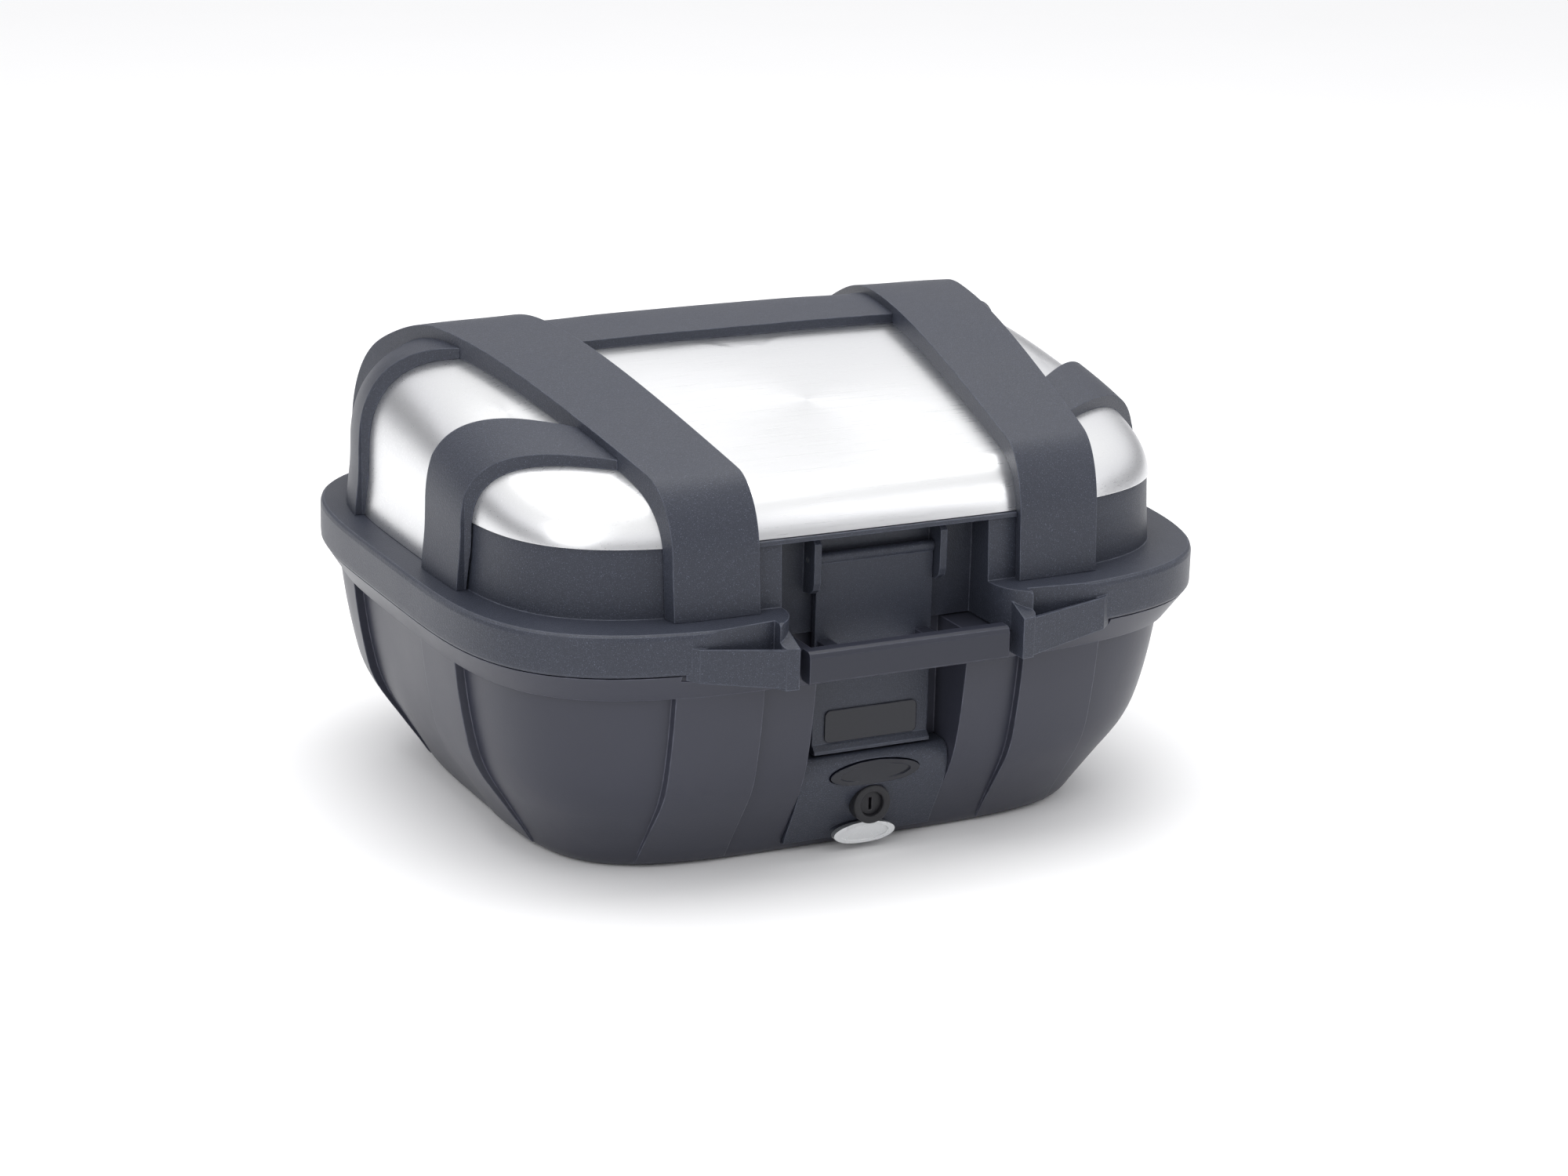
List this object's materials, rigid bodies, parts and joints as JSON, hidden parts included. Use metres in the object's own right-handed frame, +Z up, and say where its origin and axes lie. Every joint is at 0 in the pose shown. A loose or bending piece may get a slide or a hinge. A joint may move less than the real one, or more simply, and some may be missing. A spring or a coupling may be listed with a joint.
{
  "type": "motorcycle top case",
  "caption": "Hard motorcycle top case: plastic lower shell, hinged lid with satin metal panels under moulded bands, folding latch flap with carry bar, key lock and rack release.",
  "frame": {"origin": "centre of the flat underside of the lower shell", "axes": "+Z up, +X along the width, -Y towards the lock and handle side"},
  "size_m": [0.56, 0.492, 0.3275],
  "materials": {
    "alloy_sheet": "brushed satin anodised sheet",
    "cast_zinc": "matt black cast metal",
    "gloss_black": "polished moulding",
    "moulded_plastic": "fine moulded grain, matt",
    "seal_rubber": "matt extruded rubber",
    "shell_plastic": "smooth satin moulding",
    "silver_plastic": "silver lacquer",
    "trim_plastic": "smooth matt moulding",
    "zinc_steel": "zinc-plated steel"
  },
  "bodies": {
    "tub": {"lower_shell": "shell_plastic", "rim_seal": "seal_rubber", "lock_housing": "moulded_plastic", "lock_housing_screws": "zinc_steel", "lock_ring": "cast_zinc", "mount_insert": "zinc_steel", "mount_insert_screws": "zinc_steel", "hinge_leaves_lower": "zinc_steel", "hinge_screws_lower": "zinc_steel", "hinge_pins": "zinc_steel", "stay_bracket_lower_right": "trim_plastic", "stay_bracket_lower_left": "trim_plastic"},
    "lid": {"lid_shell": "moulded_plastic", "center_panel": "alloy_sheet", "side_panel_right": "alloy_sheet", "side_panel_left": "alloy_sheet", "strap_right": "moulded_plastic", "strap_left": "moulded_plastic", "side_band_right": "moulded_plastic", "side_band_left": "moulded_plastic", "rear_band_right": "moulded_plastic", "rear_band_left": "moulded_plastic", "rear_band_center": "moulded_plastic", "band_screws": "zinc_steel", "hinge_leaves_upper": "zinc_steel", "hinge_screws_upper": "zinc_steel", "stay_bracket_upper_right": "trim_plastic", "stay_bracket_upper_left": "trim_plastic", "flap_pin": "zinc_steel"},
    "flap": {"latch_flap": "moulded_plastic", "carry_handle": "trim_plastic", "handle_screws": "zinc_steel", "strike_bar": "zinc_steel", "badge_plate": "gloss_black"},
    "button": {"open_button": "gloss_black"},
    "catch": {"lid_catch": "trim_plastic"},
    "lock": {"lock_cylinder": "cast_zinc", "lock_cam": "zinc_steel", "cam_screw": "zinc_steel"},
    "release": {"release_button": "silver_plastic"},
    "bolt": {"plate_bolt": "zinc_steel"},
    "stay_lower_right": {"stay_link_lower_right": "zinc_steel", "stay_rivet_right": "zinc_steel"},
    "stay_lower_left": {"stay_link_lower_left": "zinc_steel", "stay_rivet_left": "zinc_steel"},
    "stay_upper_right": {"stay_link_upper_right": "zinc_steel"},
    "stay_upper_left": {"stay_link_upper_left": "zinc_steel"}
  },
  "joints": [
    {"name": "lid_hinge", "type": "hinge", "parent": "tub", "child": "lid", "pos_m": [0, 0.243, 0.161], "axis": [-1, 0, 0], "range_deg": [0, 80]},
    {"name": "flap_hinge", "type": "hinge", "parent": "lid", "child": "flap", "pos_m": [0, -0.1865, 0.214], "axis": [-1, 0, 0], "range_deg": [0, 60]},
    {"name": "button_press", "type": "slide", "parent": "tub", "child": "button", "axis": [0, 1, 0], "range_m": [0, 0.004]},
    {"name": "catch_slide", "type": "slide", "parent": "tub", "child": "catch", "axis": [0, 0, -1], "range_m": [0, 0.004]},
    {"name": "lock_turn", "type": "hinge", "parent": "tub", "child": "lock", "pos_m": [0, -0.19, 0.037], "axis": [0, 1, 0], "range_deg": [0, 90]},
    {"name": "release_press", "type": "slide", "parent": "tub", "child": "release", "axis": [0, 1, 0], "range_m": [0, 0.004]},
    {"name": "bolt_slide", "type": "slide", "parent": "tub", "child": "bolt", "axis": [0, -1, 0], "range_m": [0, 0.004]},
    {"name": "stay_lower_right", "type": "hinge", "parent": "tub", "child": "stay_lower_right", "pos_m": [0.222, 0.15, 0.142], "axis": [-1, 0, 0], "range_deg": [0, 80]},
    {"name": "stay_upper_right", "type": "hinge", "parent": "lid", "child": "stay_upper_right", "pos_m": [0.222, 0.15, 0.18], "axis": [-1, 0, 0], "range_deg": [-80, 0]},
    {"name": "stay_lower_left", "type": "hinge", "parent": "tub", "child": "stay_lower_left", "pos_m": [-0.222, 0.15, 0.142], "axis": [-1, 0, 0], "range_deg": [0, 80]},
    {"name": "stay_upper_left", "type": "hinge", "parent": "lid", "child": "stay_upper_left", "pos_m": [-0.222, 0.15, 0.18], "axis": [-1, 0, 0], "range_deg": [-80, 0]}
  ],
  "couplings": [
    {"joint": "catch_slide", "follows": "button_press", "ratio": 1},
    {"joint": "bolt_slide", "follows": "release_press", "ratio": 1},
    {"joint": "stay_lower_right", "follows": "lid_hinge", "ratio": 1},
    {"joint": "stay_upper_right", "follows": "lid_hinge", "ratio": -1},
    {"joint": "stay_lower_left", "follows": "lid_hinge", "ratio": 1},
    {"joint": "stay_upper_left", "follows": "lid_hinge", "ratio": -1}
  ]
}
